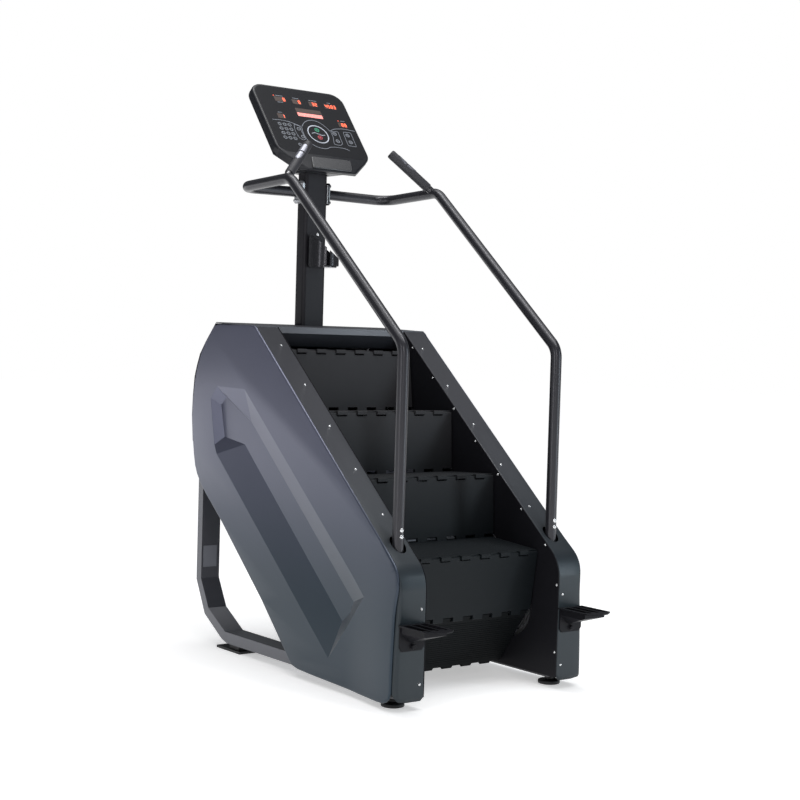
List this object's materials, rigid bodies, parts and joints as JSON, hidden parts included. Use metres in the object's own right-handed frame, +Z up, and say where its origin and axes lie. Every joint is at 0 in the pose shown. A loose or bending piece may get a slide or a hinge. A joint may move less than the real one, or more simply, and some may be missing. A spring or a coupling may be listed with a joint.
{
  "type": "stair climber",
  "caption": "Stair climber: hinged treads and risers run as an endless belt between two covered wings, with handrails, a leaning console on a column and side steps.",
  "frame": {"origin": "centre of the footprint's bounding box at floor level", "axes": "+Z up, +Y the way the user faces while climbing, +X to the user's right"},
  "size_m": [0.8094, 1.497, 2.1202],
  "materials": {
    "side_panel": "satin blue-grey metallic paint on a moulded cover",
    "band": "charcoal powder coat, satin",
    "inner_plate": "black powder coat, fine texture",
    "frame": "dark charcoal gloss paint on steel tube",
    "step": "black coated, fine ribs across",
    "console": "black moulded plastic, satin",
    "board": "circuit board",
    "key": "dark grey key tops",
    "start_key": "green key top",
    "stop_key": "red key top",
    "grip_rubber": "black, lightly textured",
    "foot_rubber": "black, matte",
    "bare_steel": "machined"
  },
  "bodies": {
    "frame": {"rear_frame_left": "frame", "rear_frame_right": "frame", "front_post_left": "frame", "front_post_right": "frame", "shaft_carrier_left": "frame", "shaft_carrier_right": "frame", "side_panel_left": "side_panel", "side_panel_right": "side_panel", "front_band_left": "band", "front_band_right": "band", "inner_plate_left": "inner_plate", "inner_plate_right": "inner_plate", "chain_left": "bare_steel", "chain_right": "bare_steel", "handrail_left": "frame", "handrail_right": "frame", "grip_left": "grip_rubber", "grip_right": "grip_rubber", "side_step_left": "inner_plate", "side_step_right": "inner_plate", "rear_foot_left": "foot_rubber", "rear_foot_right": "foot_rubber", "lower_cross_member": "frame", "top_cross_member": "frame", "drive_belt": "foot_rubber", "top_cover": "band", "rear_cover": "band", "column": "frame", "console_front_shell": "console", "console_rear_shell": "console", "display_board": "board", "keypad_mat": "key", "rail_clamp": "bare_steel", "bottle_holder": "frame"},
    "stair_run": {"tread_2": "step", "riser_2": "step", "tread_3": "step", "riser_3": "step"},
    "return_run": {"return_step_6": "step", "return_step_7": "step", "return_step_8": "step"},
    "tread_1": {"tread_1": "step"},
    "riser_1": {"riser_1": "step"},
    "tread_9": {"tread_9": "step"},
    "riser_9": {"riser_9": "step"},
    "riser_4": {"riser_4": "step"},
    "tread_4": {"tread_4": "step"},
    "riser_5": {"riser_5": "step"},
    "tread_5": {"tread_5": "step"},
    "lower_shaft": {"lower_shaft": "bare_steel"},
    "upper_shaft": {"upper_shaft": "bare_steel"},
    "brake_shaft": {"brake_shaft": "bare_steel"},
    "start_key": {"start_key": "start_key"},
    "stop_key": {"stop_key": "stop_key"},
    "function_key_1": {"function_key_1": "key"},
    "function_key_2": {"function_key_2": "key"},
    "function_key_3": {"function_key_3": "key"},
    "function_key_4": {"function_key_4": "key"},
    "front_leveller_left": {"front_leveller_left": "foot_rubber"},
    "front_leveller_right": {"front_leveller_right": "foot_rubber"}
  },
  "joints": [
    {"name": "stair_travel", "type": "slide", "parent": "frame", "child": "stair_run", "axis": [0, -0.7579, -0.6523], "range_m": [0, 0.06]},
    {"name": "return_travel", "type": "slide", "parent": "frame", "child": "return_run", "axis": [0, 0.7755, 0.6313], "range_m": [0, 0.061]},
    {"name": "tread_1_hinge", "type": "hinge", "parent": "stair_run", "child": "tread_1", "pos_m": [0, -0.2395, 0.48], "axis": [1, 0, 0], "range_deg": [0, 8.76]},
    {"name": "riser_1_hinge", "type": "hinge", "parent": "tread_1", "child": "riser_1", "pos_m": [0, -0.48171, 0.45053], "axis": [1, 0, 0], "range_deg": [0, 8.71]},
    {"name": "tread_9_hinge", "type": "hinge", "parent": "riser_1", "child": "tread_9", "pos_m": [0, -0.44036, 0.24464], "axis": [1, 0, 0], "range_deg": [0, 7.4]},
    {"name": "riser_9_hinge", "type": "hinge", "parent": "tread_9", "child": "riser_9", "pos_m": [0, -0.28975, 0.05266], "axis": [1, 0, 0], "range_deg": [-11.66, 0]},
    {"name": "riser_4_hinge", "type": "hinge", "parent": "stair_run", "child": "riser_4", "pos_m": [0, 0.2485, 0.9], "axis": [1, 0, 0], "range_deg": [0, 4.3]},
    {"name": "tread_4_hinge", "type": "hinge", "parent": "riser_4", "child": "tread_4", "pos_m": [0, 0.26463, 1.10938], "axis": [1, 0, 0], "range_deg": [0, 2.77]},
    {"name": "riser_5_hinge", "type": "hinge", "parent": "tread_4", "child": "riser_5", "pos_m": [0, 0.50698, 1.08111], "axis": [1, 0, 0], "range_deg": [0, 22.66]},
    {"name": "tread_5_hinge", "type": "hinge", "parent": "riser_5", "child": "tread_5", "pos_m": [0, 0.71212, 1.03617], "axis": [1, 0, 0], "range_deg": [-1.59, 0]},
    {"name": "lower_shaft_spin", "type": "hinge", "parent": "frame", "child": "lower_shaft", "pos_m": [0, -0.33624, 0.25821], "axis": [1, 0, 0], "range_deg": [0, 33.45]},
    {"name": "upper_shaft_spin", "type": "hinge", "parent": "frame", "child": "upper_shaft", "pos_m": [0, 0.50352, 0.96116], "axis": [1, 0, 0], "range_deg": [0, 29.27]},
    {"name": "brake_shaft_spin", "type": "hinge", "parent": "frame", "child": "brake_shaft", "pos_m": [0, 0.04165, 0.57454], "axis": [1, 0, 0], "range_deg": [0, 81.45]},
    {"name": "start_key_press", "type": "slide", "parent": "frame", "child": "start_key", "axis": [0, 0.7826, -0.6225], "range_m": [0, 0.001], "stiffness_N_per_m": 800},
    {"name": "stop_key_press", "type": "slide", "parent": "frame", "child": "stop_key", "axis": [0, 0.7826, -0.6225], "range_m": [0, 0.001], "stiffness_N_per_m": 800},
    {"name": "function_key_1_press", "type": "slide", "parent": "frame", "child": "function_key_1", "axis": [0, 0.7826, -0.6225], "range_m": [0, 0.001], "stiffness_N_per_m": 800},
    {"name": "function_key_2_press", "type": "slide", "parent": "frame", "child": "function_key_2", "axis": [0, 0.7826, -0.6225], "range_m": [0, 0.001], "stiffness_N_per_m": 800},
    {"name": "function_key_3_press", "type": "slide", "parent": "frame", "child": "function_key_3", "axis": [0, 0.7826, -0.6225], "range_m": [0, 0.001], "stiffness_N_per_m": 800},
    {"name": "function_key_4_press", "type": "slide", "parent": "frame", "child": "function_key_4", "axis": [0, 0.7826, -0.6225], "range_m": [0, 0.001], "stiffness_N_per_m": 800},
    {"name": "front_leveller_left_screw", "type": "slide", "parent": "frame", "child": "front_leveller_left", "axis": [0, 0, -1], "range_m": [0, 0.015]},
    {"name": "front_leveller_right_screw", "type": "slide", "parent": "frame", "child": "front_leveller_right", "axis": [0, 0, -1], "range_m": [0, 0.015]}
  ],
  "couplings": [
    {"joint": "return_travel", "follows": "stair_travel", "ratio": 1},
    {"joint": "tread_1_hinge", "follows": "stair_travel", "rad_per_m": 2.483},
    {"joint": "riser_1_hinge", "follows": "stair_travel", "rad_per_m": 2.4696},
    {"joint": "tread_9_hinge", "follows": "stair_travel", "rad_per_m": 2.0962},
    {"joint": "riser_9_hinge", "follows": "stair_travel", "rad_per_m": -3.3108},
    {"joint": "riser_4_hinge", "follows": "stair_travel", "rad_per_m": 1.2127},
    {"joint": "tread_4_hinge", "follows": "stair_travel", "rad_per_m": 0.77536},
    {"joint": "riser_5_hinge", "follows": "stair_travel", "rad_per_m": 6.4477},
    {"joint": "tread_5_hinge", "follows": "stair_travel", "rad_per_m": -0.43788},
    {"joint": "lower_shaft_spin", "follows": "stair_travel", "rad_per_m": 9.5238},
    {"joint": "upper_shaft_spin", "follows": "stair_travel", "rad_per_m": 8.3333},
    {"joint": "brake_shaft_spin", "follows": "stair_travel", "rad_per_m": 23.214}
  ]
}
